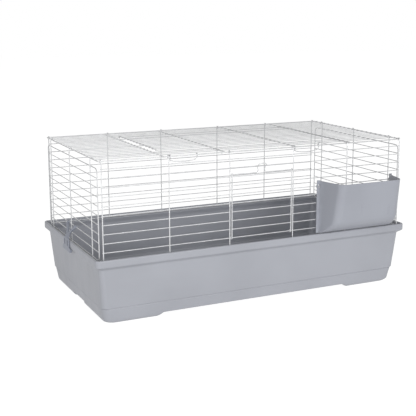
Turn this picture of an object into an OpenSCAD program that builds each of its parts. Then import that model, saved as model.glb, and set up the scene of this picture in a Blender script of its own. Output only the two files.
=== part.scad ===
// Indoor rabbit hutch: deep plastic tray, wire walls and roof, hay rack outside the front wall.
// X runs along the long side, the front faces -Y, Z is up. Floor at z = 0, all sizes in mm.

/* [Overall] */
// Length over the tray rim
tray_length = 1000; // [800:10:1200]
// Depth over the tray rim
tray_depth = 530; // [420:5:640]
// Height from the floor to the top of the roof door
overall_height = 460; // [380:5:560]
// Part to build, or all of them

/* [Tray] */
// Height of the rim above the floor
rim_height = 189; // [150:1:230]
// Wall thickness of the moulding
tray_wall = 3; // [2:0.5:5]
// Width of the ledge round the rim
ledge_width = 7; // [5:0.5:12]
// Inner edge of the groove, measured in from the rim
groove_edge = 20.5; // [18:0.5:26]
// Depth of the groove that the wire walls stand in
groove_depth = 9; // [5:0.5:14]
// Height of the lip round the rim
lip_height = 20; // [14:1:30]
// Height of the sloping underside of the lip
lip_slope = 9; // [4:1:14]
// Height of the step round the lower body
step_height = 46; // [30:1:70]
// Length of the foot at each corner, along X
foot_length = 150; // [90:5:220]
// Length of the foot at each corner, along Y
foot_depth = 175; // [90:5:200]
// Lift of the floor between the feet
floor_lift = 11; // [5:1:20]
// Length of the ramp between foot and raised floor
foot_ramp = 20; // [8:1:30]
// Distance of the foot's outer edge from the rim
foot_inset = 36; // [30:1:44]

/* [Wire] */
// Radius of the uprights and frames
upright_radius = 1.5; // [1.2:0.1:2]
// Radius of the rungs
rung_radius = 1.2; // [0.9:0.1:1.6]
// Radius of the rail round the roof
rail_radius = 1.7; // [1.4:0.1:2.2]
// Pitch of the rungs
rung_pitch = 25.1; // [18:0.1:32]
// Free space between a loop and the wire it turns on
loop_clearance = 0.4; // [0.3:0.05:0.6]

/* [Walls] */
// Distance from the rim in to the roof rail, along X
rail_inset_x = 18; // [14:0.5:22]
// Distance from the rim in to the roof rail, along Y
rail_inset_y = 13.5; // [12:0.5:22]
// Distance of the end uprights of the front wall from the middle
end_upright = 476.5; // [440:0.5:480]
// Distance of the outer uprights of the front wall from the middle
outer_upright = 286; // [240:1:330]
// Distance of the uprights beside the front doorway from the middle
door_upright = 102.5; // [80:0.5:140]
// Distance of the end uprights of the side frames from the middle
side_end = 240; // [200:1:250]
// Spacing of the uprights in the side walls
side_spacing = 194; // [150:1:220]
// Shift of the side uprights towards the back
side_shift = 4; // [3:0.5:8]
// Corner radius of the side frames
side_corner = 15; // [8:1:30]

/* [Front door] */
// Distance of the door uprights from the middle
front_door_half = 96; // [70:0.5:130]
// Height of the latch wire above the floor
latch_height = 390; // [350:1:400]
// Radius of the latch wire
latch_radius = 1.2; // [0.9:0.1:1.5]
// Middle of the latch loop, along X
latch_centre = -5; // [-30:1:30]
// Half width of the latch loop
latch_loop_half = 12; // [9:0.5:16]
// Height of the latch loop above its arms
latch_rise = 27; // [22:1:34]
// Outward reach of the finger tab
latch_reach = 10; // [6:1:16]

/* [Roof] */
// Number of wire spaces across the roof
roof_spaces = 20; // [16:1:24]
// Distance of the rails beside the roof doorway from the middle
roof_rail = 297; // [240:1:360]
// Distance of the side wires of the roof door from the middle
roof_door_half = 282; // [220:1:340]
// Left latch tongue of the roof door, along X
left_tongue = -127; // [-180:1:-80]
// Right latch tongue of the roof door, along X
right_tongue = 95; // [60:1:98]
// Wire that the roof door turns on, counted from the front rail
hinge_wire = 16; // [14:1:18]
// Front wire of the roof door, counted from the front rail
door_front_wire = 4; // [3:1:6]
// Distance of the short lengthwise wires of the front and back strips from the middle
strip_wire = 115; // [110:1:118]

/* [Handles] */
// Radius of the handle wire
handle_radius = 1.4; // [1.2:0.1:1.6]
// Width of a handle between its loops
handle_width = 80; // [60:1:110]
// Drop of a handle below the rail
handle_drop = 16; // [12:1:18]
// Left end of the left handle, along X
left_handle_start = -281.5; // [-281.5:0.5:-260]
// Left end of the right handle, along X
right_handle_start = 107.5; // [107.5:0.5:120]

/* [Clips] */
// Half width across the prongs
prong_half = 40; // [30:1:55]
// Half width of the neck
neck_half = 12; // [8:1:20]
// Half width of the grip plate
grip_half = 24; // [18:1:34]
// Half width of the foot
clip_foot_half = 35; // [26:1:45]
// Thickness of the clip
clip_thickness = 3; // [2:0.5:4]
// Bottom of the clip above the floor
clip_bottom = 157; // [150:1:160]
// Width of a prong
prong_width = 12; // [8:1:16]
// Width of each slot in the grip plate
slot_width = 7; // [4:0.5:9]
// Distance of the slots from the middle of the clip
slot_offset = 13; // [9:0.5:18]

/* [Hay rack] */
// Middle of the rack, along X
rack_centre = 315; // [280:1:330]
// Half width of the rack at the wall
rack_back_half = 125; // [90:1:135]
// Half width of the rack at its front
rack_front_half = 104; // [70:1:120]
// Reach of the rack beyond the wall
rack_reach = 90; // [50:1:120]
// Height of the rack's rim above the floor
rack_top = 349; // [300:1:380]
// Thickness of the rack
rack_wall = 2; // [1.5:0.5:3]
// Corner radius at the front of the rack
rack_corner = 24; // [10:1:30]
// Width of the flange beside the rack
flange_width = 9; // [6:0.5:10]
// Radius of the wire of the rack's hooks
hook_radius = 1.1; // [0.9:0.1:1.3]

/* [Hidden] */
$fn = 24;
// Thickness of the sheets that hulls are stretched between
sheet = 0.01;
// Inset from the rim that the feet are measured from
ridge_inset = 34;
// Height of the rounded lower edge of the feet, and its inset and that of the wall at the step
heel_height = 8;
heel_inset = 28.5;
step_inset = 23;
// Inset of the wall just above the step, and under the lip
waist_inset = 20.5;
shoulder_inset = 12;
// Corner radii of the tray from the floor up to the rim
foot_corner = 26;
heel_corner = 22;
step_corner = 18;
shoulder_corner = 15;
rim_corner = 12;
// Corner radii of the groove's inner and outer edges
groove_corner = 8;
ledge_corner = 7;
// Flats in each rounded corner of the tray
corner_steps = 8;
// Share of the two radii left between the axes of wires welded across each other
weld_share = 0.8;
// Overrun of a wire past the wire that it is welded to
overrun = 1.8;
// Drop of a hooked end below the middle of the rail
hook_drop = 4;
// Drop of the end of a handle's eye below the middle of the rail
eye_end = 1;
// Shift of a handle's legs behind the middle of the rail, which brings its weight under the rail
handle_lean = 0.3;
// Bend radius at the bottom of a handle
handle_bend = 10;
// Gap left where a wall is hooked over a rail or stands in the groove
seat_gap = 0.3;
// Gap between the front rail and the tongues of the roof door
rail_gap = 0.6;
// How far a latch arm reaches past the middle of the door upright
latch_overrun = 0.8;
// Bend radius of the latch loop
latch_bend = 4.5;
// Gap between the clip and the rim, its reach under the lip, and half the height of its root
clip_gap = 0.8;
clip_hook = 4;
clip_root = 3;
// Wall of a clip's barrel, and how much narrower than the bore its mouth is, on each side
barrel_wall = 2.2;
barrel_snap = 0.6;
// Gap between the rack and the wires behind it
rack_gap = 1.2;
// Height of a rack hook above the rung that it hangs on, its bend radius and its two legs
hook_rise = 3.2;
hook_bend = 2.5;
hook_outer_leg = 8;
hook_inner_leg = 9;

half_length = tray_length / 2;
half_depth = tray_depth / 2;
rail_x = half_length - rail_inset_x;
rail_y = half_depth - rail_inset_y;
groove_floor = rim_height - groove_depth;
lip_bottom = rim_height - lip_height;
body_top = lip_bottom - lip_slope;

// Heights in the roof, from the door wires down to the rail
door_wire_z = overall_height - upright_radius;
hinge_radius = rung_radius + loop_clearance + upright_radius;
roof_wire_z = door_wire_z - hinge_radius;
roof_rail_z = roof_wire_z - weld_share * (rung_radius + upright_radius);
rail_z = roof_wire_z - 2;
rung_top = overall_height - 2;
rail_hook = rail_radius + upright_radius + seat_gap;
weld_step = weld_share * (rung_radius + upright_radius);

// Planes of the wire walls
front_upright_y = -rail_y - rail_hook;
front_rung_y = front_upright_y + weld_step;
side_upright_x = rail_x + rail_hook;
side_rung_x = side_upright_x - weld_step;
side_frame_x = side_upright_x - weld_share * 2 * upright_radius;

// Rungs counted down from the roof: the front door fills the space between two of them
door_top_rung = 3;
door_bottom_rung = 9;
hinge_rung = 10;
groove_rung = 11;
clip_rung = 9;
rack_rung = 5;

function rung_z(k) = rung_top - rung_pitch * k;
function roof_y(j) = -rail_y + 2 * rail_y * j / roof_spaces;
function unit(v) = v / norm(v);
function reversed(p) = [for (i = [len(p) - 1:-1:0]) p[i]];

front_door_y = front_rung_y - hinge_radius;
latch_grip = upright_radius + loop_clearance + latch_radius;
latch_y = front_door_y - latch_grip;
rack_back_y = front_upright_y - upright_radius - rack_gap;
rack_low = rim_height + rack_gap + 0.1;
hook_offset = rack_back_half + flange_width / 2 - 0.5;
hook_z = rung_z(rack_rung) + hook_rise;

// Shift towards the back that brings the origin under the middle of the whole outline
centre_shift = (rack_reach - rack_back_y - half_depth) / 2;

plastic = [0.66, 0.67, 0.71];
clip_plastic = [0.58, 0.6, 0.65];
wire_metal = [0.86, 0.87, 0.88];

// A finished sub-part in its colour, moved from the tray's middle to the middle of the outline
module finished(c) {
    color(c)
        translate([0, centre_shift, 0])
            children();
}

// Matrix with axes x, y, z and origin p
function axes_at(x, y, z, p) = [
    [x[0], y[0], z[0], p[0]],
    [x[1], y[1], z[1], p[1]],
    [x[2], y[2], z[2], p[2]],
    [0, 0, 0, 1]
];

// Angle that a wire through the points p turns at point i
function turn(p, i) = acos(min(1, max(-1, unit(p[i] - p[i - 1]) * unit(p[i + 1] - p[i]))));

// Length of straight wire used up by the bend at point i
function setback(p, bends, i) =
    i <= 0 || i >= len(p) - 1 ? 0 : bends[i - 1] * tan(turn(p, i) / 2);

// Straight round wire from a to b
module straight_wire(a, b, r) {
    z = unit(b - a);
    x = unit(cross(abs(z[2]) < 0.9 ? [0, 0, 1] : [1, 0, 0], z));
    multmatrix(axes_at(x, cross(z, x), z, a))
        cylinder(h = norm(b - a), r = r);
}

// Round wire along the points p, with a bend radius for each inner point
module bent_wire(p, bends, r) {
    for (i = [0:len(p) - 2]) {
        d = unit(p[i + 1] - p[i]);
        from = p[i] + d * setback(p, bends, i);
        to = p[i + 1] - d * setback(p, bends, i + 1);
        if ((to - from) * d > sheet)
            straight_wire(from, to, r);
    }
    for (i = [1:len(p) - 2]) {
        a = unit(p[i] - p[i - 1]);
        b = unit(p[i + 1] - p[i]);
        m = unit(b - a * (a * b));
        centre = p[i] - a * setback(p, bends, i) + m * bends[i - 1];
        multmatrix(axes_at(-m, a, cross(-m, a), centre))
            rotate_extrude(angle = turn(p, i))
                translate([bends[i - 1], 0])
                    circle(r);
    }
}

// Outline of a rectangle with rounded corners
function rounded_outline(hx, hy, r) = [
    for (q = [0:3], s = [0:corner_steps])
        let (
            a = 90 * (q + s / corner_steps),
            cx = (q == 0 || q == 3 ? 1 : -1) * (hx - r),
            cy = (q < 2 ? 1 : -1) * (hy - r)
        )
        [cx + r * cos(a), cy + r * sin(a)]
];

// Level slice of the tray, set in from the rim
module tray_slice(inset, r, z, h = sheet) {
    translate([0, 0, z])
        linear_extrude(h)
            polygon(rounded_outline(half_length - inset, half_depth - inset, r));
}

// Ridges of raised floor between the feet: the long one lies along Y
module floor_ridges(grow, height) {
    ridge_x = half_length - ridge_inset - foot_length + grow;
    ridge_y = half_depth - ridge_inset - foot_depth + grow;
    rotate([90, 0, 0])
        linear_extrude(2 * half_depth, center = true)
            polygon([
                [-ridge_x, -1], [ridge_x, -1], [ridge_x, 0],
                [ridge_x - foot_ramp, height], [foot_ramp - ridge_x, height], [-ridge_x, 0]
            ]);
    rotate([90, 0, 90])
        linear_extrude(2 * half_length, center = true)
            polygon([
                [-ridge_y, -1], [ridge_y, -1], [ridge_y, 0],
                [ridge_y - foot_ramp / 2, height], [foot_ramp / 2 - ridge_y, height], [-ridge_y, 0]
            ]);
}

module tray_outside() {
    hull() {
        tray_slice(foot_inset, foot_corner, 0);
        tray_slice(heel_inset, heel_corner, heel_height);
        tray_slice(step_inset, step_corner, step_height);
    }
    hull() {
        tray_slice(waist_inset, step_corner, step_height);
        tray_slice(shoulder_inset, shoulder_corner, body_top);
    }
    hull() {
        tray_slice(shoulder_inset, shoulder_corner, body_top);
        tray_slice(0, rim_corner, lip_bottom);
    }
    tray_slice(0, rim_corner, lip_bottom, lip_height);
}

module tray_inside() {
    t = tray_wall;
    shelf_bottom = body_top + 5;
    hull() {
        tray_slice(foot_inset + t, foot_corner - t, t);
        tray_slice(heel_inset + t, heel_corner - t, heel_height + t);
        tray_slice(step_inset + t, step_corner - t, step_height + sheet);
    }
    hull() {
        tray_slice(waist_inset + t, step_corner - t, step_height);
        tray_slice(shoulder_inset + 1 + t, shoulder_corner - t, shelf_bottom);
    }
    hull() {
        tray_slice(shoulder_inset + 1 + t, shoulder_corner - t, shelf_bottom);
        tray_slice(groove_edge, groove_corner, groove_floor - t);
    }
    tray_slice(groove_edge, groove_corner, groove_floor - t, groove_depth + 2 * t);
    tray_slice(ledge_width, ledge_corner, groove_floor, groove_depth + t);
}

module base_tray() {
    finished(plastic)
        difference() {
            tray_outside();
            difference() {
                tray_inside();
                floor_ridges(tray_wall, floor_lift + tray_wall);
            }
            floor_ridges(0, floor_lift);
        }
}

// Upright of the front wall, hooked over the roof rail from outside
module front_upright(x) {
    bent_wire(
        [
            [x, front_upright_y, groove_floor],
            [x, front_upright_y, rail_z + rail_hook],
            [x, -rail_y + rail_hook, rail_z + rail_hook],
            [x, -rail_y + rail_hook, rail_z - hook_drop]
        ],
        [rail_hook, rail_hook],
        upright_radius
    );
}

// Rung of the front wall between two places along X
module front_rung(k, from, to) {
    straight_wire([from, front_rung_y, rung_z(k)], [to, front_rung_y, rung_z(k)], rung_radius);
}

module front_uprights() {
    for (x = [end_upright, outer_upright, door_upright])
        for (s = [-1, 1])
            front_upright(s * x);
}

module front_wall() {
    rung_end = end_upright + overrun;
    gap_edge = door_upright - overrun / 2;
    finished(wire_metal) {
        front_uprights();
        for (k = [1:groove_rung])
            if (k < door_top_rung || k > door_bottom_rung)
                front_rung(k, -rung_end, rung_end);
        for (k = [door_top_rung:door_bottom_rung]) {
            front_rung(k, -rung_end, -gap_edge);
            front_rung(k, gap_edge, rung_end);
        }
    }
}

module back_wall() {
    rung_end = end_upright + overrun;
    finished(wire_metal)
        mirror([0, 1, 0]) {
            front_uprights();
            for (k = [1:groove_rung])
                front_rung(k, -rung_end, rung_end);
        }
}

// Side wall on the right: a round-cornered frame with rungs, and uprights hooked over the roof rail
module side_wall() {
    top = rung_z(1);
    bottom = groove_floor + upright_radius + seat_gap;
    bent_wire(
        [
            [side_frame_x, 0, bottom],
            [side_frame_x, side_end, bottom],
            [side_frame_x, side_end, top],
            [side_frame_x, -side_end, top],
            [side_frame_x, -side_end, bottom],
            [side_frame_x, 0, bottom]
        ],
        [side_corner, side_corner, side_corner, side_corner],
        upright_radius
    );
    for (k = [2:hinge_rung])
        straight_wire([side_rung_x, -side_end, rung_z(k)], [side_rung_x, side_end, rung_z(k)], rung_radius);
    for (n = [-1:1])
        bent_wire(
            [
                [side_upright_x, side_shift + n * side_spacing, groove_floor],
                [side_upright_x, side_shift + n * side_spacing, rail_z + rail_hook],
                [rail_x - rail_hook, side_shift + n * side_spacing, rail_z + rail_hook],
                [rail_x - rail_hook, side_shift + n * side_spacing, rail_z - hook_drop]
            ],
            [rail_hook, rail_hook],
            upright_radius
        );
}

module right_wall() {
    finished(wire_metal)
        side_wall();
}

module left_wall() {
    finished(wire_metal)
        mirror([1, 0, 0])
            side_wall();
}

// Cross wire of the roof between two places along X
module roof_wire(j, from, to) {
    straight_wire([from, roof_y(j), roof_wire_z], [to, roof_y(j), roof_wire_z], rung_radius);
}

// Lengthwise rail of the roof between two places along Y
module roof_stay(x, from, to) {
    straight_wire([x, from, roof_rail_z], [x, to, roof_rail_z], upright_radius);
}

module roof_panel() {
    corner = 4;
    back_wire_shift = 6;
    front_edge = roof_y(door_front_wire - 1) + overrun;
    back_edge = roof_y(hinge_wire) - overrun;
    finished(wire_metal) {
        bent_wire(
            [
                [0, -rail_y, rail_z],
                [rail_x, -rail_y, rail_z],
                [rail_x, rail_y, rail_z],
                [-rail_x, rail_y, rail_z],
                [-rail_x, -rail_y, rail_z],
                [0, -rail_y, rail_z]
            ],
            [corner, corner, corner, corner],
            rail_radius
        );
        for (s = [-1, 1]) {
            roof_stay(s * roof_rail, -rail_y, rail_y);
            roof_stay(s * strip_wire, -rail_y, front_edge);
            for (j = [door_front_wire:hinge_wire - 1])
                roof_wire(j, s * rail_x, s * (roof_rail - overrun));
        }
        roof_stay(-strip_wire, back_edge, rail_y);
        roof_stay(strip_wire - back_wire_shift, back_edge, rail_y);
        for (j = [1:roof_spaces - 1])
            if (j < door_front_wire || j >= hinge_wire)
                roof_wire(j, -rail_x, rail_x);
    }
}

// Points of the loop round the hinge wire, at the back end of a roof door wire
function roof_door_loop(x, h) = let (y = roof_y(hinge_wire), z = roof_wire_z) [
    [x, y + h, z + h],
    [x, y + h, z - h],
    [x, y - h, z - h],
    [x, y - h, z]
];

// Wire laid on the roof door from its hinge, past its front edge and down over the front rail
module roof_tongue(x) {
    r = rung_radius;
    tip_y = -rail_y - rail_radius - r - rail_gap;
    z = overall_height - r;
    h = z - roof_wire_z;
    drop = 9;
    bend = 4;
    finished(wire_metal)
        bent_wire(
            concat([[x, tip_y, z - drop], [x, tip_y, z]], roof_door_loop(x, h)),
            [bend, h, h, h],
            r
        );
}

module left_roof_tongue() {
    roof_tongue(left_tongue);
}

module right_roof_tongue() {
    roof_tongue(right_tongue);
}

module roof_door() {
    cross_z = door_wire_z - weld_step;
    cross_end = roof_door_half + overrun;
    h = hinge_radius;
    finished(wire_metal) {
        for (s = [-1, 1])
            bent_wire(
                concat(
                    [[s * roof_door_half, roof_y(door_front_wire) - overrun, door_wire_z]],
                    roof_door_loop(s * roof_door_half, h)
                ),
                [h, h, h],
                upright_radius
            );
        for (j = [door_front_wire:hinge_wire - 1])
            straight_wire([-cross_end, roof_y(j), cross_z], [cross_end, roof_y(j), cross_z], rung_radius);
    }
}

module front_door() {
    h = hinge_radius;
    z = rung_z(hinge_rung);
    top = latch_height + 3;
    finished(wire_metal) {
        for (s = [-1, 1])
            bent_wire(
                [
                    [s * front_door_half, front_door_y, top],
                    [s * front_door_half, front_door_y, z - h],
                    [s * front_door_half, front_rung_y + h, z - h],
                    [s * front_door_half, front_rung_y + h, z + h],
                    [s * front_door_half, front_rung_y, z + h]
                ],
                [h, h, h],
                upright_radius
            );
        for (k = [door_top_rung:door_bottom_rung])
            straight_wire(
                [-front_door_half - overrun, front_door_y + weld_step, rung_z(k)],
                [front_door_half + overrun, front_door_y + weld_step, rung_z(k)],
                rung_radius
            );
    }
}

// Sprung latch wire: two arms that hold the door uprights, and between them a loop with a finger tab
module front_door_latch() {
    arm = front_door_half + latch_grip;
    left = latch_centre - latch_loop_half;
    right = latch_centre + latch_loop_half;
    tip = latch_y + latch_grip + latch_overrun;
    tab_y = latch_y - latch_reach;
    top = latch_height + latch_rise;
    finished(wire_metal)
        bent_wire(
            [
                [-arm, tip, latch_height], [-arm, latch_y, latch_height], [left, latch_y, latch_height],
                [left, latch_y, top], [left, tab_y, top], [right, tab_y, top], [right, latch_y, top],
                [right, latch_y, latch_height], [arm, latch_y, latch_height], [arm, tip, latch_height]
            ],
            [latch_grip, latch_bend, latch_bend, latch_bend, latch_bend, latch_bend, latch_bend, latch_grip],
            latch_radius
        );
}

// Outline of the right clip seen along Y: a plate that slopes out over the rim and hooks under the lip
module clip_profile(z, bore, barrel) {
    inner_x = side_rung_x + bore + seat_gap;
    outer = half_length + clip_gap;
    hook_x = half_length - clip_hook;
    polygon([
        [inner_x, z + clip_root], [inner_x, z - clip_root], [outer, rim_height + clip_root],
        [outer, lip_bottom - 2], [half_length, lip_bottom - 2.2], [hook_x, lip_bottom - 4.4],
        [hook_x, lip_bottom - 8], [half_length - 1, clip_bottom],
        [outer + clip_thickness, clip_bottom], [outer + clip_thickness, rim_height + clip_root + 1],
        [side_rung_x + barrel - 0.2, z + clip_root]
    ]);
}

// Right half of the clip's outline seen along X, from the top of its prong to its foot
function clip_side(z) = [
    [prong_half - prong_width, z + 5],
    [prong_half, z + 5],
    [prong_half, z - 4],
    [neck_half, rim_height + 17],
    [neck_half, rim_height + 9],
    [grip_half, rim_height + 1],
    [grip_half, lip_bottom + 3],
    [clip_foot_half, lip_bottom - 2],
    [clip_foot_half, clip_bottom - 1]
];

// Clip on the right side: it turns on a rung and holds the tray under its lip
module side_clip() {
    z = rung_z(clip_rung);
    bore = rung_radius + loop_clearance;
    barrel = bore + barrel_wall;
    half = clip_side(z);
    crotch = [[prong_half - prong_width, z - 2], [0, rim_height + 20], [prong_width - prong_half, z - 2]];
    difference() {
        union() {
            intersection() {
                rotate([90, 0, 0])
                    linear_extrude(4 * prong_half, center = true)
                        clip_profile(z, bore, barrel);
                translate([half_length / 2, side_shift, 0])
                    rotate([90, 0, 90])
                        linear_extrude(half_length)
                            polygon(concat(half, [for (p = reversed(half)) [-p[0], p[1]]], reversed(crotch)));
            }
            for (s = [-1, 1])
                translate([side_rung_x, side_shift + s * (prong_half - prong_width / 2), z])
                    rotate([90, 0, 0])
                        cylinder(h = prong_width, r = barrel, center = true);
        }
        for (s = [-1, 1]) {
            translate([side_rung_x, side_shift + s * (prong_half - prong_width / 2), z]) {
                rotate([90, 0, 0])
                    cylinder(h = prong_width + 4, r = bore, center = true);
                translate([-barrel, 0, 0])
                    cube([2 * barrel, prong_width + 4, 2 * (bore - barrel_snap)], center = true);
            }
            translate([half_length - 10, side_shift + s * slot_offset - slot_width / 2, lip_bottom + 4])
                cube([30, slot_width, lip_height - 4]);
        }
    }
}

module right_clip() {
    finished(clip_plastic)
        side_clip();
}

module left_clip() {
    finished(clip_plastic)
        mirror([1, 0, 0])
            side_clip();
}

// Level slice of the rack: front reach f, half widths at the wall and at the front
module rack_slice(z, f, shrink, back_extra = 0) {
    share = f / rack_reach;
    front_half = rack_back_half - (rack_back_half - rack_front_half) * share - shrink;
    r = max(1, min(rack_corner, f / 2) - shrink);
    translate([0, 0, z]) {
        for (s = [-1, 1])
            translate([s * (front_half - r), rack_back_y - f + shrink + r, 0])
                cylinder(h = sheet, r = r, $fn = 32);
        translate([shrink - rack_back_half, rack_back_y, 0])
            cube([2 * (rack_back_half - shrink), sheet + back_extra, sheet]);
    }
}

// Stack of slices, as height and reach: nearly upright front, rounded into a sloping underside
module rack_body(shrink, top_extra, back_extra) {
    low = rack_low + shrink;
    hull() {
        rack_slice(rack_top + top_extra, rack_reach, shrink, back_extra);
        rack_slice(245, rack_reach - 17, shrink, back_extra);
        rack_slice(228 + shrink / 2, rack_reach - 24, shrink, back_extra);
        rack_slice(215 + shrink, rack_reach - 37, shrink, back_extra);
        rack_slice(low + 4, 18, shrink, back_extra);
        rack_slice(low, 6 + shrink, shrink, back_extra);
    }
}

module rack_flange() {
    rise = 4;
    translate([rack_back_half - rack_wall, rack_back_y - rack_wall, rack_low])
        cube([flange_width + rack_wall, rack_wall, rack_top + rise - rack_low]);
}

module hay_rack() {
    hole_radius = 2.4;
    finished(plastic)
        translate([rack_centre, 0, 0])
            difference() {
                union() {
                    difference() {
                        rack_body(0, 0, 0);
                        rack_body(rack_wall, 2, 5);
                    }
                    rack_flange();
                    mirror([1, 0, 0])
                        rack_flange();
                }
                for (s = [-1, 1])
                    translate([s * hook_offset, rack_back_y - rack_wall / 2, hook_z])
                        rotate([90, 0, 0])
                            cylinder(h = 3 * rack_wall, r = hole_radius, center = true);
            }
}

// Wire hook through the flange and over a rung of the front wall
module rack_hook(side) {
    x = rack_centre + side * hook_offset;
    outer = rack_back_y - rack_wall - hook_bend;
    inner = front_rung_y + rung_radius + 2;
    finished(wire_metal)
        bent_wire(
            [
                [x, outer, hook_z - hook_outer_leg], [x, outer, hook_z],
                [x, inner, hook_z], [x, inner, hook_z - hook_inner_leg]
            ],
            [hook_bend, hook_bend],
            hook_radius
        );
}

module left_rack_hook() {
    rack_hook(-1);
}

module right_rack_hook() {
    rack_hook(1);
}

// Wire handle that hangs from the front roof rail: an open eye round the rail at each end
module handle(start) {
    h = rail_radius + loop_clearance + handle_radius;
    y = -rail_y;
    leg = y + handle_lean;
    end = start + handle_width;
    low = rail_z - handle_drop;
    tight = h / 2;
    finished(wire_metal)
        bent_wire(
            [
                [start, y + h, rail_z - eye_end], [start, y + h, rail_z + h], [start, y - h, rail_z + h],
                [start, y - h, rail_z - h], [start, leg, rail_z - h], [start, leg, low],
                [end, leg, low], [end, leg, rail_z - h], [end, y - h, rail_z - h],
                [end, y - h, rail_z + h], [end, y + h, rail_z + h], [end, y + h, rail_z - eye_end]
            ],
            [h, h, tight, tight, handle_bend, handle_bend, tight, tight, h, h],
            handle_radius
        );
}

module left_handle() {
    handle(left_handle_start);
}

module right_handle() {
    handle(right_handle_start);
}

base_tray();
front_wall();
back_wall();
left_wall();
right_wall();
roof_panel();
roof_door();
left_roof_tongue();
right_roof_tongue();
front_door();
front_door_latch();
left_clip();
right_clip();
hay_rack();
left_rack_hook();
right_rack_hook();
left_handle();
right_handle();
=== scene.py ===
import math

import bmesh
import bpy
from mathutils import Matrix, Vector


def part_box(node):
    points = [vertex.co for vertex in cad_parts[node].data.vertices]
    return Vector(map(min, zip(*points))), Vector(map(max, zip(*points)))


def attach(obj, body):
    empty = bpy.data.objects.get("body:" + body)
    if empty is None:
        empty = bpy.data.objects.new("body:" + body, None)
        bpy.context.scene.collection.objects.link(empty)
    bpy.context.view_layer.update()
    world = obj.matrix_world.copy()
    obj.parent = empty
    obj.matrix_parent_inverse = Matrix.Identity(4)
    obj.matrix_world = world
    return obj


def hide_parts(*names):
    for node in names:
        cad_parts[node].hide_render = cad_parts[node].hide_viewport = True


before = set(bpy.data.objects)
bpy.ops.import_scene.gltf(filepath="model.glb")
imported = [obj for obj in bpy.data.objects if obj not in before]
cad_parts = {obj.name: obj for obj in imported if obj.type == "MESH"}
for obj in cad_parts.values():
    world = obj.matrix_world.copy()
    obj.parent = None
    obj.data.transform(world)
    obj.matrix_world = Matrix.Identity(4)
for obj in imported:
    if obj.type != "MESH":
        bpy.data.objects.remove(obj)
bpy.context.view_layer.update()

# Sizes in millimetres, from the middle of the tray on the floor, as in the CAD model
# The tray: its outline, groove, wall and floor, where the floor's ramps start, and how wide they are
HALF_LENGTH, HALF_DEPTH = 500.0, 265.0
GROOVE_FLOOR, WALL, FLOOR_LIFT = 180.0, 3.0, 11.0
FOOT_X, FOOT_Y, RAMP_X, RAMP_Y = 316.0, 56.0, 20.0, 10.0
# Wire radii
UPRIGHT, RUNG, RAIL, HANDLE, LATCH, HOOK = 1.5, 1.2, 1.7, 1.4, 1.2, 1.1
# Gap left round a wire that turns in a loop, and the radius of a door's loop round its hinge wire
CLEARANCE, LOOP = 0.4, 3.1
# How far the axes of an upright and a rung welded to it stand apart, and how far a rung runs past
WELD, OVERRUN = 2.16, 1.8
# The roof: its rail, the heights of its wires, and the places of the door and of the stays beside it
RAIL_X, RAIL_Y, RAIL_Z, RAIL_HOOK, HOOK_DROP = 482.0, 251.5, 453.4, 3.5, 4.0
TOP, DOOR_WIRE_Z, ROOF_WIRE_Z, ROOF_STAY_Z = 460.0, 458.5, 455.4, 453.24
SPACES, DOOR_FRONT_WIRE, HINGE_WIRE = 20, 4, 16
ROOF_DOOR_X, ROOF_STAY_X, SHORT_STAY_X, BACK_STAY_X = 282.0, 297.0, 115.0, 109.0
# The walls: planes of uprights and rungs, and the rungs counted down from the top
FRONT_Y, FRONT_RUNG_Y = -255.0, -252.84
SIDE_X, SIDE_RUNG_X, SIDE_FRAME_X = 485.5, 483.34, 483.1
UPRIGHTS = (476.5, 286.0, 102.5)
RUNG_TOP, RUNG_PITCH, GROOVE_RUNG, HINGE_RUNG, RACK_RUNG = 458.0, 25.1, 11, 10, 5
# The front door: its uprights, and the rungs between which it fills the wall
FRONT_DOOR_X, DOOR_TOP_RUNG, DOOR_BOTTOM_RUNG, LATCH_Z = 96.0, 3, 9, 390.0
# The hay rack: its middle, the plane it hangs in, its rim, and its hooks
RACK_X, RACK_BACK, RACK_TOP, RACK_REACH = 315.0, -257.7, 349.0, 90.0
HOOK_X, HOOK_RISE = 129.0, 3.2

tray_lo, tray_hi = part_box("base_tray")
ORIGIN = Vector(((tray_lo.x + tray_hi.x) / 2, (tray_lo.y + tray_hi.y) / 2, 0))


def rung_z(k):
    return RUNG_TOP - RUNG_PITCH * k


def roof_y(j):
    return -RAIL_Y + 2 * RAIL_Y * j / SPACES


def row(p):
    """A point in millimetres from the tray's middle, as a point of the row frame in metres."""
    return ORIGIN + Vector(p) * 0.001


# ---------------------------------------------------------------- meshes

def bent(points, bends, steps=7):
    """A path along the points, rounded at each inner point with its bend radius."""
    p = [Vector(q) for q in points]
    out = [p[0]]
    for i in range(1, len(p) - 1):
        a, b = (p[i] - p[i - 1]).normalized(), (p[i + 1] - p[i]).normalized()
        turn = a.angle(b)
        r = bends[i - 1]
        back = r * math.tan(turn / 2)
        m = (b - a * a.dot(b)).normalized()
        centre = p[i] - a * back + m * r
        for s in range(steps + 1):
            t = turn * s / steps
            out.append(centre - m * r * math.cos(t) + a * r * math.sin(t))
    return out + [p[-1]]


def smooth_path(points, steps=6):
    """A Catmull-Rom curve through the points."""
    p = [Vector(q) for q in points]
    p = [2 * p[0] - p[1]] + p + [2 * p[-1] - p[-2]]
    out = []
    for i in range(1, len(p) - 2):
        for s in range(steps):
            t = s / steps
            out.append(0.5 * (2 * p[i] + (p[i + 1] - p[i - 1]) * t
                              + (2 * p[i - 1] - 5 * p[i] + 4 * p[i + 1] - p[i + 2]) * t * t
                              + (3 * p[i] - p[i - 1] - 3 * p[i + 1] + p[i + 2]) * t ** 3))
    return out + [p[-2]]


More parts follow.
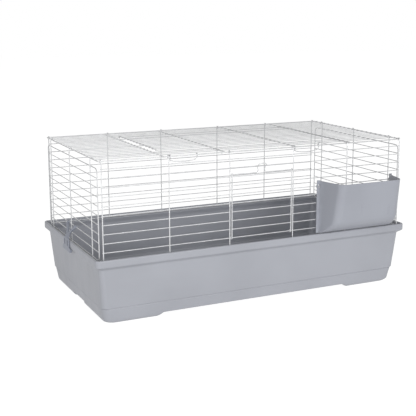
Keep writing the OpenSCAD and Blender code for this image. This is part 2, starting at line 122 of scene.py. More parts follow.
class Shape:
    """Vertices and faces of one piece, in millimetres."""

    def __init__(self):
        self.verts, self.faces = [], []

    def ring(self, centre, x, y, r, sides):
        first = len(self.verts)
        for i in range(sides):
            a = 2 * math.pi * i / sides
            self.verts.append(centre + (x * math.cos(a) + y * math.sin(a)) * r)
        return first

    def bridge(self, a, b, sides):
        for i in range(sides):
            j = (i + 1) % sides
            self.faces.append((a + i, a + j, b + j, b + i))

    def tube(self, points, r, sides=14, loop=False):
        """A round wire along the points. Its cut ends are slightly chamfered."""
        p = []
        for q in points:
            q = Vector(q)
            if not p or (q - p[-1]).length > 1e-4:
                p.append(q)
        if loop and (p[0] - p[-1]).length < 1e-4:
            p.pop()
        n = len(p)
        tangents = []
        for i in range(n):
            a = p[i] - p[i - 1] if (i > 0 or loop) else p[1] - p[0]
            b = p[(i + 1) % n] - p[i] if (i < n - 1 or loop) else p[-1] - p[-2]
            tangents.append((a.normalized() + b.normalized()).normalized())
        t = tangents[0]
        x = t.orthogonal().normalized()
        rings = []
        for i in range(n):
            if i:
                turn = tangents[i - 1].rotation_difference(tangents[i])
                x = (turn @ x)
                x = (x - tangents[i] * x.dot(tangents[i])).normalized()
            y = tangents[i].cross(x)
            if not loop and i in (0, n - 1):
                s = 1 if i == 0 else -1
                end = [self.ring(p[i], x, y, 0.72 * r, sides),
                       self.ring(p[i] + tangents[i] * s * 0.3 * r, x, y, r, sides)]
                rings += end if i == 0 else end[::-1]
            else:
                rings.append(self.ring(p[i], x, y, r, sides))
        for a, b in zip(rings, rings[1:]):
            self.bridge(a, b, sides)
        if loop:
            # the frame may have turned on the way round, so the last ring is joined at the nearest corner
            a, b = rings[-1], rings[0]
            near = min(range(sides), key=lambda k: (self.verts[a] - self.verts[b + k]).length)
            for i in range(sides):
                j = (i + 1) % sides
                self.faces.append((a + i, a + j, b + (j + near) % sides, b + (i + near) % sides))
        else:
            self.faces.append(tuple(rings[0] + i for i in reversed(range(sides))))
            self.faces.append(tuple(rings[-1] + i for i in range(sides)))

    def weld(self, at, along, across, r1, r2):
        """The squeezed metal where two wires cross: at is on the first wire, across towards the second."""
        along, across = Vector(along), Vector(across)
        third = along.cross(across)
        centre = Vector(at) + across * WELD / 2
        half = (1.25 * r2, 0.9 * (r1 + r2) / 2, 1.15 * r1)
        rows, cols = 5, 10
        rings = []
        for i in range(1, rows):
            a = math.pi * i / rows
            first = len(self.verts)
            for j in range(cols):
                b = 2 * math.pi * j / cols
                ring = across * half[1] * math.cos(b) + third * half[2] * math.sin(b)
                self.verts.append(centre + along * half[0] * math.cos(a) + ring * math.sin(a))
            rings.append(first)
        for a, b in zip(rings, rings[1:]):
            self.bridge(a, b, cols)
        poles = len(self.verts)
        self.verts += [centre + along * half[0], centre - along * half[0]]
        for j in range(cols):
            k = (j + 1) % cols
            self.faces.append((poles, rings[0] + k, rings[0] + j))
            self.faces.append((poles + 1, rings[-1] + j, rings[-1] + k))

    def build(self, name, body, nodes, slot_name, material, smooth_angle=40):
        mesh = bpy.data.meshes.new(name)
        mesh.from_pydata([row(v) for v in self.verts], [], self.faces)
        mesh.materials.append(material)
        bm = bmesh.new()
        bm.from_mesh(mesh)
        bmesh.ops.recalc_face_normals(bm, faces=bm.faces)
        limit = math.radians(smooth_angle)
        for f in bm.faces:
            f.smooth = True
        for e in bm.edges:
            if e.is_manifold and e.calc_face_angle(0) > limit:
                e.smooth = False
        bm.to_mesh(mesh)
        bm.free()
        obj = bpy.data.objects.new(name, mesh)
        bpy.context.scene.collection.objects.link(obj)
        finish_piece(obj, body, nodes)
        return obj


def finish_piece(obj, body, nodes):
    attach(obj, body)
    if nodes:
        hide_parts(*nodes)


def apply_modifiers(obj):
    """Puts the result of the object's modifiers into its mesh."""
    bpy.context.view_layer.update()
    dg = bpy.context.evaluated_depsgraph_get()
    mesh = bpy.data.meshes.new_from_object(obj.evaluated_get(dg))
    old = obj.data
    obj.modifiers.clear()
    obj.data = mesh
    bpy.data.meshes.remove(old)


# ---------------------------------------------------------------- materials

class Nodes:
    """Short calls for building a node material."""

    def __init__(self, name):
        self.material = bpy.data.materials.new(name)
        self.material.use_nodes = True
        self.tree = self.material.node_tree
        self.shader = self.tree.nodes["Principled BSDF"]
        self.place = self.tree.nodes.new("ShaderNodeTexCoord").outputs["Object"]

    def add(self, kind, inputs=None, **settings):
        n = self.tree.nodes.new(kind)
        for k, v in settings.items():
            setattr(n, k, v)
        for k, v in (inputs or {}).items():
            if hasattr(v, "is_linked"):
                self.tree.links.new(v, n.inputs[k])
            else:
                n.inputs[k].default_value = v
        return n

    def noise(self, scale, detail=3.0, rough=0.5, stretch=None):
        place = self.place
        if stretch:
            place = self.add("ShaderNodeMapping", {"Vector": place, "Scale": stretch}).outputs[0]
        return self.add("ShaderNodeTexNoise", {"Vector": place, "Scale": scale, "Detail": detail,
                                               "Roughness": rough}).outputs["Fac"]

    def spread(self, value, lo, hi, to_lo, to_hi):
        return self.add("ShaderNodeMapRange", {"Value": value, "From Min": lo, "From Max": hi,
                                               "To Min": to_lo, "To Max": to_hi}).outputs[0]

    def mix(self, factor, a, b):
        n = self.add("ShaderNodeMix", data_type="RGBA")
        for socket, v in ((n.inputs[0], factor), (n.inputs[6], a), (n.inputs[7], b)):
            if hasattr(v, "is_linked"):
                self.tree.links.new(v, socket)
            else:
                socket.default_value = v
        return n.outputs[2]

    def maths(self, operation, a, b):
        return self.add("ShaderNodeMath", {0: a, 1: b}, operation=operation).outputs[0]

    def set(self, **inputs):
        for k, v in inputs.items():
            socket = self.shader.inputs[k.replace("_", " ")]
            if hasattr(v, "is_linked"):
                self.tree.links.new(v, socket)
            else:
                socket.default_value = v

    def bump(self, height, strength, distance):
        return self.add("ShaderNodeBump", {"Height": height, "Strength": strength,
                                           "Distance": distance}).outputs[0]


def shade(colour, k):
    return tuple(min(1.0, c * k) for c in colour) + (1.0,)


def plastic(name, colour, roughness, grain=0.35):
    """Injection-moulded plastic: fine spark grain, faint flow marks, and paler edges, partly rubbed wear and
    partly a painted highlight.
    """
    m = Nodes(name)
    broad = m.noise(5.0, 2.0, 0.5)
    flow = m.noise(3.0, 4.0, 0.55, (1.0, 1.0, 7.0))
    speck = m.noise(1400.0, 2.0, 0.6)
    tone = m.mix(m.spread(broad, 0.35, 0.65, 0.0, 1.0), shade(colour, 0.955), shade(colour, 1.035))
    tone = m.mix(m.spread(flow, 0.45, 0.75, 0.0, 0.16), tone, shade(colour, 1.1))
    tone = m.mix(m.spread(speck, 0.35, 0.7, 0.0, 0.1), tone, shade(colour, 0.8))
    # paler edges: partly rubbed wear, partly a painted highlight on the rounded corners
    edge_pointiness = m.add("ShaderNodeNewGeometry").outputs["Pointiness"]
    patches = m.spread(m.noise(60.0), 0.35, 0.65, 0.2, 1.0)
    rubbed_and_highlit = m.maths("MULTIPLY", m.spread(edge_pointiness, 0.52, 0.60, 0.0, 0.35), patches)
    tone = m.mix(rubbed_and_highlit, tone, shade(colour, 1.3))
    scuff = m.noise(26.0, 5.0, 0.7, (1.0, 1.0, 0.25))
    fine = m.spread(m.noise(420.0, 2.0), 0.0, 1.0, 0.0, 0.8)
    m.set(Base_Color=tone,
          Roughness=m.maths("ADD", m.spread(scuff, 0.3, 0.7, roughness - 0.06, roughness + 0.07),
                            m.spread(speck, 0.3, 0.7, -0.03, 0.03)),
          Specular_IOR_Level=0.45,
          Normal=m.bump(m.maths("ADD", speck, fine), grain, 0.00012))
    m.shader.inputs["IOR"].default_value = 1.49
    return m.material


def zinc_wire(name, colour, roughness):
    """Bright zinc-plated wire: its drawn lines are too fine to see, so cloudy tone and roughness carry it."""
    m = Nodes(name)
    cloud = m.noise(70.0, 4.0, 0.6)
    fine = m.noise(900.0, 3.0, 0.65)
    tone = m.mix(m.spread(cloud, 0.32, 0.68, 0.0, 1.0), shade(colour, 0.88), shade(colour, 1.06))
    tone = m.mix(m.spread(fine, 0.6, 0.8, 0.0, 0.35), tone, shade(colour, 0.66))
    m.set(Base_Color=tone,
          Roughness=m.maths("ADD", m.spread(cloud, 0.3, 0.7, roughness - 0.08, roughness + 0.08),
                            m.spread(fine, 0.3, 0.7, -0.05, 0.05)),
          Metallic=0.4,
          Normal=m.bump(fine, 0.25, 0.00006))
    return m.material


TRAY = plastic("tray_plastic", (0.330, 0.340, 0.374), 0.36)
RACK = plastic("rack_plastic", (0.300, 0.312, 0.350), 0.33, grain=0.25)
CLIP = plastic("clip_plastic", (0.235, 0.252, 0.300), 0.4, grain=0.2)
WIRE = zinc_wire("wire_zinc", (0.69, 0.695, 0.705), 0.38)


# ---------------------------------------------------------------- wire walls

def hook_path(sign_y, x):
    """An upright of the front or back wall: up the outside and over the rail."""
    y = sign_y * -FRONT_Y
    inner = sign_y * (RAIL_Y - RAIL_HOOK)
    top = RAIL_Z + RAIL_HOOK
    return bent([(x, y, GROOVE_FLOOR), (x, y, top), (x, inner, top), (x, inner, RAIL_Z - HOOK_DROP)],
                [RAIL_HOOK, RAIL_HOOK])


def long_wall(front):
    s = -1 if front else 1
    shape = Shape()
    xs = [q * x for x in UPRIGHTS for q in (-1, 1)]
    end = UPRIGHTS[0] + OVERRUN
    gap = UPRIGHTS[2] - OVERRUN / 2
    for x in xs:
        shape.tube(hook_path(s, x), UPRIGHT)
    y = s * -FRONT_RUNG_Y
    for k in range(1, GROOVE_RUNG + 1):
        z = rung_z(k)
        if front and DOOR_TOP_RUNG <= k <= DOOR_BOTTOM_RUNG:
            shape.tube([(-end, y, z), (-gap, y, z)], RUNG)
            shape.tube([(gap, y, z), (end, y, z)], RUNG)
        else:
            shape.tube([(-end, y, z), (end, y, z)], RUNG)
        for x in xs:
            shape.weld((x, s * -FRONT_Y, z), (0, 0, 1), (0, -s, 0), UPRIGHT, RUNG)
    return shape


def side_wall(s):
    shape = Shape()
    top, bottom, end, r = rung_z(1), GROOVE_FLOOR + UPRIGHT + 0.3, 240.0, 15.0
    x = s * SIDE_FRAME_X
    corners = [(x, 0, bottom), (x, end, bottom), (x, end, top), (x, -end, top), (x, -end, bottom),
               (x, 0, bottom)]
    shape.tube(bent(corners, [r] * 4, 10), UPRIGHT, loop=True)
    ys = [4 + 194 * n for n in (-1, 0, 1)]
    for y in ys:
        top_z = RAIL_Z + RAIL_HOOK
        outer, inner = s * SIDE_X, s * (RAIL_X - RAIL_HOOK)
        shape.tube(bent([(outer, y, GROOVE_FLOOR), (outer, y, top_z), (inner, y, top_z),
                         (inner, y, RAIL_Z - HOOK_DROP)], [RAIL_HOOK, RAIL_HOOK]), UPRIGHT)
    for k in range(2, GROOVE_RUNG):
        shape.tube([(s * SIDE_RUNG_X, -end, rung_z(k)), (s * SIDE_RUNG_X, end, rung_z(k))], RUNG)
    for k in range(1, GROOVE_RUNG):
        for y in ys:
            shape.weld((s * SIDE_X, y, rung_z(k)), (0, 0, 1), (-s, 0, 0), UPRIGHT, RUNG)
    return shape


def roof_panel():
    shape = Shape()
    rail = [(0, -RAIL_Y, RAIL_Z), (RAIL_X, -RAIL_Y, RAIL_Z), (RAIL_X, RAIL_Y, RAIL_Z),
            (-RAIL_X, RAIL_Y, RAIL_Z), (-RAIL_X, -RAIL_Y, RAIL_Z), (0, -RAIL_Y, RAIL_Z)]
    shape.tube(bent(rail, [4.0] * 4), RAIL, loop=True)
    front_edge, back_edge = roof_y(DOOR_FRONT_WIRE - 1) + OVERRUN, roof_y(HINGE_WIRE) - OVERRUN
    stays = [(-ROOF_STAY_X, -RAIL_Y, RAIL_Y), (ROOF_STAY_X, -RAIL_Y, RAIL_Y),
             (-SHORT_STAY_X, -RAIL_Y, front_edge), (SHORT_STAY_X, -RAIL_Y, front_edge),
             (-SHORT_STAY_X, back_edge, RAIL_Y), (BACK_STAY_X, back_edge, RAIL_Y)]
    for x, a, b in stays:
        shape.tube([(x, a, ROOF_STAY_Z), (x, b, ROOF_STAY_Z)], UPRIGHT)
    for j in range(1, SPACES):
        y = roof_y(j)
        beside_door = DOOR_FRONT_WIRE <= j < HINGE_WIRE
        for s in (-1, 1):
            if beside_door:
                inner = s * (ROOF_STAY_X - OVERRUN)
                shape.tube([(s * RAIL_X, y, ROOF_WIRE_Z), (inner, y, ROOF_WIRE_Z)], RUNG)
            shape.weld((s * RAIL_X, y, RAIL_Z), (0, 1, 0), (0, 0, 1), RAIL, RUNG)
        if not beside_door:
            shape.tube([(-RAIL_X, y, ROOF_WIRE_Z), (RAIL_X, y, ROOF_WIRE_Z)], RUNG)
        for x, a, b in stays:
            if a < y < b:
                shape.weld((x, y, ROOF_STAY_Z), (0, 1, 0), (0, 0, 1), UPRIGHT, RUNG)
    return shape


def hinge_eye(x, h):
    """The loop round the hinge wire, at the back end of a roof door wire."""
    y = roof_y(HINGE_WIRE)
    return [(x, y + h, ROOF_WIRE_Z + h), (x, y + h, ROOF_WIRE_Z - h), (x, y - h, ROOF_WIRE_Z - h),
            (x, y - h, ROOF_WIRE_Z)]


def roof_door():
    shape = Shape()
    cross, end = DOOR_WIRE_Z - WELD, ROOF_DOOR_X + OVERRUN
    sides = (-ROOF_DOOR_X, ROOF_DOOR_X)
    for x in sides:
        start = (x, roof_y(DOOR_FRONT_WIRE) - OVERRUN, DOOR_WIRE_Z)
        shape.tube(bent([start] + hinge_eye(x, LOOP), [LOOP] * 3), UPRIGHT)
    for j in range(DOOR_FRONT_WIRE, HINGE_WIRE):
        shape.tube([(-end, roof_y(j), cross), (end, roof_y(j), cross)], RUNG)
        for x in sides:
            shape.weld((x, roof_y(j), DOOR_WIRE_Z), (0, 1, 0), (0, 0, -1), UPRIGHT, RUNG)
    return shape


def roof_tongue(x):
    """A wire laid across the roof door and turned down over the front rail."""
    shape = Shape()
    z = TOP - RUNG
    h = z - ROOF_WIRE_Z
    tip, drop, bend = -RAIL_Y - RAIL - RUNG - 0.6, 9.0, 4.0
    shape.tube(bent([(x, tip, z - drop), (x, tip, z)] + hinge_eye(x, h), [bend, h, h, h]), RUNG)
    for j in range(DOOR_FRONT_WIRE, HINGE_WIRE):
        shape.weld((x, roof_y(j), z), (0, 1, 0), (0, 0, -1), RUNG, RUNG)
    return shape


def front_door():
    shape = Shape()
    h, z, y = LOOP, rung_z(HINGE_RUNG), FRONT_RUNG_Y - LOOP
    top, end = LATCH_Z + 3, FRONT_DOOR_X + OVERRUN
    sides = (-FRONT_DOOR_X, FRONT_DOOR_X)
    for x in sides:
        shape.tube(bent([(x, y, top), (x, y, z - h), (x, FRONT_RUNG_Y + h, z - h),
                         (x, FRONT_RUNG_Y + h, z + h),
                         (x, FRONT_RUNG_Y, z + h)], [h] * 3), UPRIGHT)
    for k in range(DOOR_TOP_RUNG, DOOR_BOTTOM_RUNG + 1):
        shape.tube([(-end, y + WELD, rung_z(k)), (end, y + WELD, rung_z(k))], RUNG)
        for x in sides:
            shape.weld((x, y, rung_z(k)), (0, 0, 1), (0, 1, 0), UPRIGHT, RUNG)
    return shape


def front_door_latch():
    """Two arms that hold the door's uprights, and between them a rounded loop bent out as a finger tab."""
    shape = Shape()
    grip = UPRIGHT + CLEARANCE + LATCH
    y, z, c = FRONT_RUNG_Y - LOOP - grip, LATCH_Z, -5.0
    rise, reach, overrun, shoulder = 27.0, 10.0, 0.8, 18.0
    side = [(16, 0, 0), (12, 0, 3), (10.5, 0, 8), (12.5, 0, 14), (12.5, -4, 21), (11, -7.5, 24.5),
            (7.5, -9.5, 26.5)]
    loop = [(c - a, y + b, z + e) for a, b, e in side] + [(c, y - reach, z + rise)]
    loop += [(c + a, y + b, z + e) for a, b, e in reversed(side)]
    arm = FRONT_DOOR_X + grip
    path = bent([(-arm, y + grip + overrun, z), (-arm, y, z), (c - shoulder, y, z)], [grip])
    path += smooth_path(loop)
    path += bent([(c + shoulder, y, z), (arm, y, z), (arm, y + grip + overrun, z)], [grip])
    shape.tube(path, LATCH)
    return shape


def handle(start):
    """A hanging handle: an open eye round the rail at each end, and a slack curve of wire between them."""
    shape = Shape()
    h = RAIL + CLEARANCE + HANDLE
    y, z, leg = -RAIL_Y, RAIL_Z, -RAIL_Y + 0.3
    half, straight, sag, steps = 40.0, 7.4, 8.6, 24

    def eye(x):
        return bent([(x, y + h, z - 1), (x, y + h, z + h), (x, y - h, z + h), (x, y - h, z - h),
                     (x, leg, z - h),
                     (x, leg, z - straight)], [h, h, h / 2, h / 2])

    curve = [(start + half - half * math.cos(a), leg, z - straight - sag * math.sin(a) ** 0.8)
             for a in (math.pi * n / steps for n in range(1, steps))]
    shape.tube(eye(start) + curve + eye(start + 2 * half)[::-1], HANDLE)
    return shape


def rack_hook(s):
    """A small wire through the rack's flange and over a rung of the wall."""
    shape = Shape()
    bend = 2.5
    x, z = RACK_X + s * HOOK_X, rung_z(RACK_RUNG) + HOOK_RISE
    outer, inner = RACK_BACK - 2 - bend, FRONT_RUNG_Y + RUNG + 2
    shape.tube(bent([(x, outer, z - 8), (x, outer, z), (x, inner, z), (x, inner, z - 9)], [bend, bend]), HOOK)
    return shape


def wire_piece(shape, name, body, node):
    return shape.build(name, body, [node], "wire_steel", WIRE)


wire_piece(long_wall(True), "front_wall_wires", "cage", "front_wall")
wire_piece(long_wall(False), "back_wall_wires", "cage", "back_wall")
wire_piece(side_wall(-1), "left_wall_wires", "cage", "left_wall")
wire_piece(side_wall(1), "right_wall_wires", "cage", "right_wall")
wire_piece(roof_panel(), "roof_wires", "cage", "roof_panel")
wire_piece(roof_door(), "roof_door_wires", "roof_door", "roof_door")
wire_piece(roof_tongue(-127.0), "left_roof_tongue_wire", "roof_door", "left_roof_tongue")
wire_piece(roof_tongue(95.0), "right_roof_tongue_wire", "roof_door", "right_roof_tongue")
wire_piece(front_door(), "front_door_wires", "front_door", "front_door")
wire_piece(front_door_latch(), "front_door_latch_wire", "front_door_latch", "front_door_latch")
wire_piece(handle(-281.5), "left_handle_wire", "left_handle", "left_handle")
wire_piece(handle(107.5), "right_handle_wire", "right_handle", "right_handle")
wire_piece(rack_hook(-1), "left_rack_hook_wire", "hay_rack", "left_rack_hook")
wire_piece(rack_hook(1), "right_rack_hook_wire", "hay_rack", "right_rack_hook")


# ---------------------------------------------------------------- tray

def ease(t):
    t = min(1.0, max(0.0, t))
    return t * t * (3 - 2 * t)


def lift(x, y, grow=0.0):
    """Lift of the floor between the corner feet."""
    fx = ease((abs(x) - (FOOT_X - RAMP_X) - grow) / RAMP_X)
    fy = ease((abs(y) - (FOOT_Y - RAMP_Y) - grow) / RAMP_Y)
    return FLOOR_LIFT * (1 - fx * fy)


def level(table, z):
    """Straight-line reading of a table of (z, value)."""
    for (z0, v0), (z1, v1) in zip(table, table[1:]):
        if z <= z1:
            return v0 + (v1 - v0) * max(0.0, (z - z0) / (z1 - z0))
    return table[-1][1]


CORNER_STEPS = 12
XS = [0, 60, 120, 180, 240, 280, 292, 296, 299, 302, 305, 308, 311, 314, 317, 322, 340, 370, 400, 425]
YS = [0, 20, 38, 44, 46, 48, 50, 52, 54, 56, 58, 66, 90, 120, 150, 175, 192]
XS = sorted({s * v for v in XS for s in (-1, 1)})
YS = sorted({s * v for v in YS for s in (-1, 1)})


def perimeter():
    """Samples round a rounded rectangle: ("arc", corner, angle) or ("x" or "y", side, place)."""
    out = []
    for q in range(4):
        for s in range(CORNER_STEPS + 1):
            out.append(("arc", q, math.radians(90 * (q + s / CORNER_STEPS))))
        if q == 0:
            out += [("x", 1, v) for v in reversed(XS)]
        elif q == 1:
            out += [("y", -1, v) for v in reversed(YS)]
        elif q == 2:
            out += [("x", -1, v) for v in XS]
        else:
            out += [("y", 1, v) for v in YS]
    return out


AROUND = perimeter()


def ring_point(sample, inset, r):
    kind, side, v = sample
    hx, hy = HALF_LENGTH - inset, HALF_DEPTH - inset
    if kind == "x":
        return v, side * hy
    if kind == "y":
        return side * hx, v
    sx, sy = (1, -1, -1, 1)[side], (1, 1, -1, -1)[side]
    return sx * (hx - r) + r * math.cos(v), sy * (hy - r) + r * math.sin(v)


def foot_lift(sample, grow=0.0):
    kind, side, v = sample
    if kind == "x":
        return lift(v, HALF_DEPTH, grow)
    if kind == "y":
        return lift(HALF_LENGTH, v, grow)
    return 0.0


OUT_INSET = [(0, 36.0), (8, 28.5), (46, 23.0)]
OUT_RADIUS = [(0, 26.0), (8, 22.0), (46, 18.0)]
IN_INSET = [(3, 39.0), (11, 31.5), (46, 26.0)]
IN_RADIUS = [(3, 23.0), (11, 19.0), (46, 15.0)]


def tray():
    shape = Shape()
    rings = []

    def add_ring(inset, r, z):
        first = len(shape.verts)
        for sample in AROUND:
            x, y = ring_point(sample, inset, r)
            shape.verts.append(Vector((x, y, z)))
        rings.append(first)

    def low_ring(t, up, fillet, insets, radii, base, grow):
        """A ring of the lowest part: t runs from the floor (0) to the height up (1)."""
        first = len(shape.verts)
        for sample in AROUND:
            bottom = base + foot_lift(sample, grow)
            z = bottom + t * (up - bottom)
            d = max(0.0, fillet - (z - bottom))
            extra = fillet - math.sqrt(max(0.0, fillet ** 2 - d ** 2))
            inset = level(insets, z) + extra
            x, y = ring_point(sample, inset, level(radii, z))
            shape.verts.append(Vector((x, y, z)))
        rings.append(first)

    fillet = 4.0
    for t in (0.0, 0.015, 0.06, 0.14, 0.25, 0.4, 0.7, 1.0):
        low_ring(t, 24.0, fillet, OUT_INSET, OUT_RADIUS, 0.0, 0.0)
    # inset, corner radius and height of each ring: the step outside, the lip, the groove, and down inside
    step = [(24.4, 19, 36), (23.5, 18, 42.4), (23.7, 18, 43.4), (24.5, 18, 44.3), (24.6, 18, 45.1),
            (24.0, 18, 45.7), (22.3, 18, 46.1), (21.2, 18, 46.7), (20.65, 18, 47.8), (20.45, 18, 49.4),
            (20.2, 18, 53)]
    outside = [(16.2, 16.5, 103), (12.5, 15, 152), (12.1, 15, 157), (11.5, 15, 159.4), (10.2, 14.6, 161.1),
               (8.4, 14, 162.6), (3.2, 12.8, 166.6), (1.5, 12.3, 168.1), (0.5, 12, 169.2)]
    rim = [(0.05, 12, 170.6), (0, 12, 174), (0, 12, 184), (0.1, 12, 186.6), (0.65, 11.8, 188.1),
           (1.7, 11.4, 188.85), (2.8, 11, 189), (5.4, 9, 189), (6.3, 8.3, 188.8), (6.85, 7.6, 188.2),
           (7, 7, 187.3)]
    groove = [(7, 7, 182), (7.3, 7, 180.8), (8.2, 7, 180.1), (9.6, 7, 180), (18.6, 8, 180),
              (19.8, 8, 179.8), (20.4, 8, 179.1), (20.5, 8, 178), (20.4, 8, 177.2)]
    inside = [(19.6, 9, 174.6), (17.2, 11, 168.4), (16.2, 12, 165.4), (16.1, 12, 163), (19.6, 13.6, 106),
              (23.2, 15, 50), (23.5, 15, 47.6), (24.2, 15, 46.4), (25.2, 15, 45.6), (25.9, 15, 44.6),
              (26.2, 15, 42), (28.6, 17, 30)]
    for inset, r, z in step + outside + rim + groove + inside:
        add_ring(inset, r, z)
    for t in (0.9, 0.5, 0.3, 0.16, 0.06, 0.015, 0.0):
        low_ring(t, 28.0, 6.0, IN_INSET, IN_RADIUS, WALL, WALL)
    n = len(AROUND)
    for a, b in zip(rings, rings[1:]):
        shape.bridge(a, b, n)

    def floor(first, base, grow, inset, r):
        """A grid of floor inside the ring that starts at vertex first."""
        cx, cy = HALF_LENGTH - inset - r, HALF_DEPTH - inset - r
        gx, gy = [-cx] + XS + [cx], [-cy] + YS + [cy]
        at = {}
        for i, x in enumerate(gx):
            for j, y in enumerate(gy):
                at[i, j] = len(shape.verts)
                shape.verts.append(Vector((x, y, base + lift(x, y, grow))))
        last_i, last_j = len(gx) - 1, len(gy) - 1
        for i in range(last_i):
            for j in range(last_j):
                shape.faces.append((at[i, j], at[i + 1, j], at[i + 1, j + 1], at[i, j + 1]))
        # the edge of the grid, walked in the same order as the ring
        corner = {0: (last_i, last_j), 1: (0, last_j), 2: (0, 0), 3: (last_i, 0)}
        match = []
        for kind, side, v in AROUND:
            if kind == "arc":
                match.append(at[corner[side]])
            elif kind == "x":
                match.append(at[XS.index(v) + 1, last_j if side > 0 else 0])
            else:
                match.append(at[last_i if side > 0 else 0, YS.index(v) + 1])
        for i in range(n):
            j = (i + 1) % n
            quad = (first + i, first + j, match[j], match[i])
            shape.faces.append(quad if match[i] != match[j] else quad[:3])

    floor(rings[0], 0.0, 0.0, 36.0 + fillet, 26.0)
    floor(rings[-1], WALL, WALL, 39.0 + 6.0, 23.0)
    obj = shape.build("tray_moulding", "cage", ["base_tray"], "tray_plastic", TRAY, smooth_angle=60)
    weigh = obj.modifiers.new("even_shading", "WEIGHTED_NORMAL")
    weigh.weight = 60
    weigh.keep_sharp = True


tray()


# ---------------------------------------------------------------- hay rack

def rack():
    """One shell from flange to flange, curled under towards the wall."""
    profile = smooth_path([(73, 0, 245), (67.4, 0, 229.3), (55, 0, 216), (37, 0, 205.4), (20, 0, 198.4),
                           (8, 0, 194.2), (1.5, 0, 192.3)], 5)
    # the front leans in by 17 over its upper 104, in 8 steps, and then curls under
    rows = [(RACK_REACH - 17 * t / 8, RACK_TOP - 104 * t / 8) for t in range(8)]
    rows += [(p.x, p.z) for p in profile]
    shape = Shape()
    wide = 0
    for f, z in rows:
        f = max(f, 1.2)
        r = max(0.6, min(24.0, f * 0.45))
        front = 125 - 21 * f / RACK_REACH
        path = []
        u = bent([(-125, 0, 0), (-front, -f, 0), (front, -f, 0), (125, 0, 0)], [r, r], 10)
        # the same number of samples in each row, closer together where the shell bends
        left, right = u[1], u[-2]
        path += [Vector(u[0]).lerp(left, t / 6) for t in range(6)]
        path += u[1:12]
        path += [Vector(u[11]).lerp(u[12], t / 14) for t in range(1, 14)]
        path += u[12:23]
        path += [Vector(right).lerp(u[-1], t / 6) for t in range(1, 7)]
        flange = [Vector((-134, 0, 0)), Vector((-130, 0, 0)), Vector((-126.4, 0, 0)),
                  Vector((-125.4, -0.3, 0))]
        path = flange + path[1:-1] + [Vector((-v.x, v.y, 0)) for v in reversed(flange)]
        wide = len(path)
        for p in path:
            edge = ease((abs(p.x) - 122) / 5)
            height = z + (1.5 * edge if z > 340 else 0.0)
            shape.verts.append(Vector((RACK_X + p.x, RACK_BACK - 1.0 + p.y, height)))
    for i in range(len(rows) - 1):
        for j in range(wide - 1):
            a = i * wide + j
            shape.faces.append((a, a + 1, a + 1 + wide, a + wide))
    obj = shape.build("rack_moulding", "hay_rack", ["hay_rack"], "rack_plastic", RACK, smooth_angle=50)
    thick = obj.modifiers.new("thickness", "SOLIDIFY")
    thick.thickness = 0.002
    thick.offset = 0
    thick.use_even_offset = True
    soft = obj.modifiers.new("rounded_edges", "BEVEL")
    soft.width = 0.0006
    soft.segments = 3
    soft.limit_method = "ANGLE"
    soft.angle_limit = math.radians(50)
    cutter = Shape()
    for s in (-1, 1):
        x, z = RACK_X + s * HOOK_X, rung_z(RACK_RUNG) + HOOK_RISE
        cutter.tube([(x, RACK_BACK + 6, z), (x, RACK_BACK - 9, z)], 2.4, sides=28)
    mesh = bpy.data.meshes.new("rack_holes")
    mesh.from_pydata([row(v) for v in cutter.verts], [], cutter.faces)
    holes = bpy.data.objects.new("rack_holes", mesh)
    bpy.context.scene.collection.objects.link(holes)
    cut = obj.modifiers.new("holes", "BOOLEAN")
    cut.operation = "DIFFERENCE"
    cut.solver = "EXACT"
    cut.object = holes
    apply_modifiers(obj)
    bpy.data.objects.remove(holes)
    weigh = obj.modifiers.new("even_shading", "WEIGHTED_NORMAL")
    weigh.weight = 60
    weigh.keep_sharp = True


rack()


# ---------------------------------------------------------------- clips

for name in ("left_clip", "right_clip"):
    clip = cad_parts[name]
    clip.data.materials.clear()
    clip.data.materials.append(CLIP)
    soft = clip.modifiers.new("rounded_edges", "BEVEL")
    soft.width = 0.0006
    soft.segments = 3
    soft.limit_method = "ANGLE"
    soft.angle_limit = math.radians(35)


# ---------------------------------------------------------------- stage, lights, camera

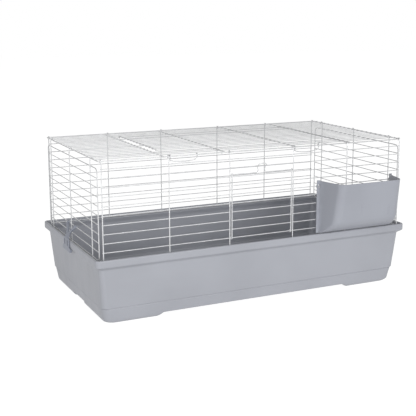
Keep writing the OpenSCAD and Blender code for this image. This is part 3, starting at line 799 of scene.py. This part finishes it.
def stage():
    m = Nodes("pale_floor")
    # the floor shows white, and lights the object from below less than it shows
    glow = m.spread(m.add("ShaderNodeLightPath").outputs["Is Camera Ray"], 0.0, 1.0, 0.62, 0.915)
    m.set(Base_Color=(0.24, 0.24, 0.24, 1), Roughness=0.9, Specular_IOR_Level=0.0,
          Emission_Color=(1, 1, 1, 1), Emission_Strength=glow)
    mesh = bpy.data.meshes.new("floor")
    r = 14.0
    mesh.from_pydata([(-r, -r, 0), (r, -r, 0), (r, r, 0), (-r, r, 0)], [], [(0, 1, 2, 3)])
    mesh.materials.append(m.material)
    floor = bpy.data.objects.new("floor", mesh)
    floor.location.z = -0.0004
    bpy.context.scene.collection.objects.link(floor)

    world = bpy.data.worlds.new("studio")
    world.use_nodes = True
    background = world.node_tree.nodes["Background"]
    background.inputs["Color"].default_value = (1, 1, 1, 1)
    # the backdrop shows white, and lights the object less than it shows
    light_path = world.node_tree.nodes.new("ShaderNodeLightPath")
    strength = world.node_tree.nodes.new("ShaderNodeMapRange")
    strength.inputs["To Min"].default_value = 0.37
    strength.inputs["To Max"].default_value = 1.0
    world.node_tree.links.new(light_path.outputs["Is Camera Ray"], strength.inputs["Value"])
    world.node_tree.links.new(strength.outputs[0], background.inputs["Strength"])
    bpy.context.scene.world = world
    bpy.context.scene.view_settings.view_transform = "Standard"

    def area(name, at, aim, width, height, power):
        data = bpy.data.lights.new(name, "AREA")
        data.shape = "RECTANGLE"
        data.size, data.size_y, data.energy = width, height, power
        light = bpy.data.objects.new(name, data)
        light.location = at
        light.rotation_euler = (Vector(aim) - Vector(at)).to_track_quat("-Z", "Y").to_euler()
        bpy.context.scene.collection.objects.link(light)

    area("key", (0.1, -3.2, 1.35), (0, 0, 0.2), 2.4, 1.3, 52)
    area("strip", (-0.62, -3.3, 0.5), (0.1, 0, 0.25), 0.22, 0.9, 20)
    area("rear", (0.4, 3.4, 1.5), (0, 0, 0.2), 2.4, 1.3, 8)
    area("right", (3.3, 0.5, 1.3), (0, 0, 0.2), 1.8, 1.2, 10)
    area("fill", (-3.2, -1.0, 1.2), (0, 0, 0.2), 2.0, 1.4, 33)


stage()


def camera():
    data = bpy.data.cameras.new("camera")
    obj = bpy.data.objects.new("camera", data)
    bpy.context.scene.collection.objects.link(obj)
    azimuth, elevation = math.radians(25.99), math.radians(11.8)
    obj.location = row((-1185.1, -2425.3, 833.2))
    ahead = Vector((math.sin(azimuth) * math.cos(elevation), math.cos(azimuth) * math.cos(elevation),
                    -math.sin(elevation)))
    obj.rotation_euler = ahead.to_track_quat("-Z", "Y").to_euler()
    # sensor and lens in millimetres, and the shift as a part of the frame's width
    data.sensor_width, data.lens = 36, 76.5087
    data.shift_x, data.shift_y = -0.033654, -0.026683
    bpy.context.scene.camera = obj


camera()
